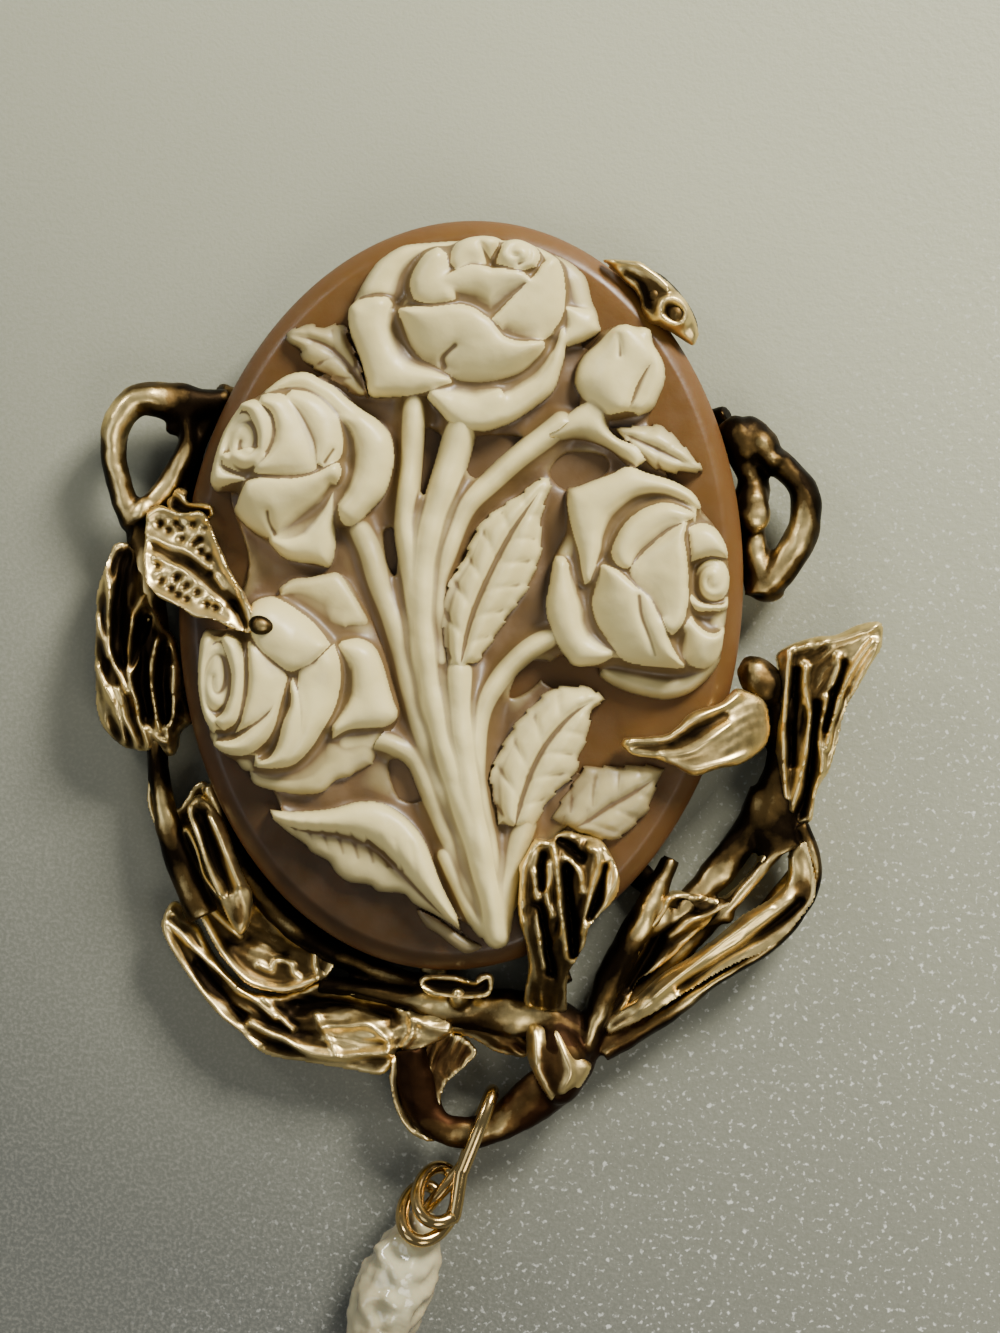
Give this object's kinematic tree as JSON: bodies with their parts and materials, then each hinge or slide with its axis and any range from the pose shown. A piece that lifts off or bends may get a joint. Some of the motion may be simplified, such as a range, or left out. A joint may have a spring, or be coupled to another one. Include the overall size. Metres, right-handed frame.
{
  "type": "cameo pendant",
  "caption": "Oval stone cameo pendant with a raised rose bouquet, held by prong leaves in a cast vine frame with two side rings, and a pearl drop on a wrapped wire at the foot.",
  "frame": {"origin": "on the surface the pendant lies on, under the middle of the stone", "axes": "+Z out of the carved face, +Y to the pendant's top, +X to the right as seen from the front"},
  "size_m": [0.0426, 0.0625, 0.0077],
  "materials": {
    "tan_stone": "polished, slightly translucent",
    "ivory_relief": "satin, carved",
    "antique_gold": "cast, with dark recesses and bright worn edges",
    "gold_wire": "polished drawn wire",
    "pearl": "lustrous nacre"
  },
  "bodies": {
    "root": {"cameo_base": "tan_stone", "rose_relief": "ivory_relief", "vine_frame": "antique_gold", "drop_wire": "gold_wire", "drop_pearl": "pearl"}
  },
  "joints": []
}
